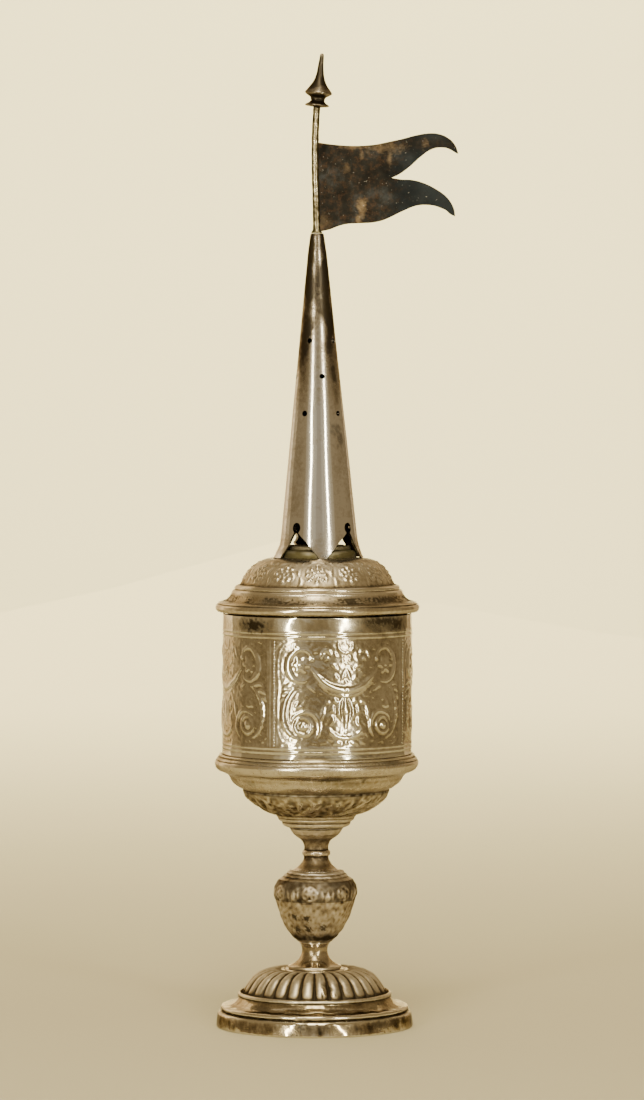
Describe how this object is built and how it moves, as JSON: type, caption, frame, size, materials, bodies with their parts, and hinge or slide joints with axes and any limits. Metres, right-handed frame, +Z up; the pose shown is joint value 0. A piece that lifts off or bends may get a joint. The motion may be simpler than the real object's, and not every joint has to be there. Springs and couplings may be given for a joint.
{
  "type": "spice tower",
  "caption": "Footed ceremonial tower: urn-shaped knop, drum-shaped spice box with chased scrolls, domed lift-off lid, pierced cone spire, bent rod with swallow-tail pennant and small finial.",
  "frame": {"origin": "under the middle of the outline in X and Y, at the plane the foot stands on; the tower's own axis stands 4.8 mm to -X of it, because the pennant reaches to +X", "axes": "+Z up along the tower, +X the way the pennant flies, -Y the front the picture shows"},
  "size_m": [0.0602, 0.0506, 0.24],
  "materials": {
    "silver": "warm tarnished silver, softly polished, dark in the recesses",
    "dark_silver": "darker tarnished silver, brown in the recesses",
    "sooty_silver": "nearly black tarnished silver with brown stains"
  },
  "bodies": {
    "root": {"foot": "silver", "stem_collar": "silver", "knop": "dark_silver", "neck": "dark_silver", "bowl": "silver", "drum": "silver", "lid": "silver", "spire": "silver", "rod": "dark_silver", "pennant": "sooty_silver", "finial": "dark_silver"}
  },
  "joints": []
}
